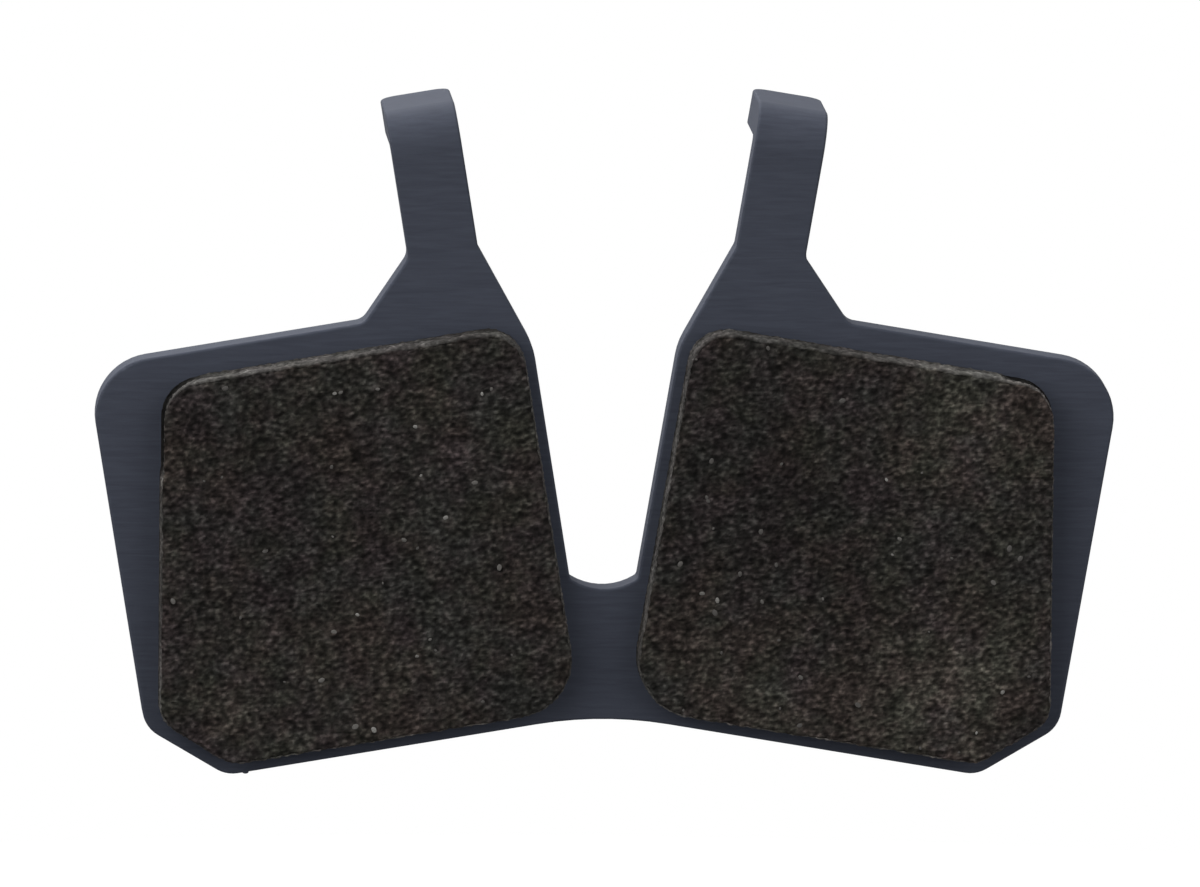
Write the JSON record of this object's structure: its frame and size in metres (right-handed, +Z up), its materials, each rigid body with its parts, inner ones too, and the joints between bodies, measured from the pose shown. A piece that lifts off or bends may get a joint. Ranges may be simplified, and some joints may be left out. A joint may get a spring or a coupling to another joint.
{
  "type": "bicycle disc brake pad",
  "caption": "One-piece steel backing plate with leaning wings joined by a bridge, stems bent back as hooks, and a bonded friction block on each wing.",
  "frame": {"origin": "middle of the bridge on the plate's back face, where the pistons push", "axes": "+X across both wings, +Y out of the back face towards the pistons, +Z up the stems to the hooks"},
  "size_m": [0.0508, 0.009, 0.0337],
  "materials": {
    "plate": "satin dark grey",
    "friction": "rough resin-bonded friction compound"
  },
  "bodies": {
    "root": {"backing_plate": "plate", "friction_block_left": "friction", "friction_block_right": "friction"}
  },
  "joints": []
}
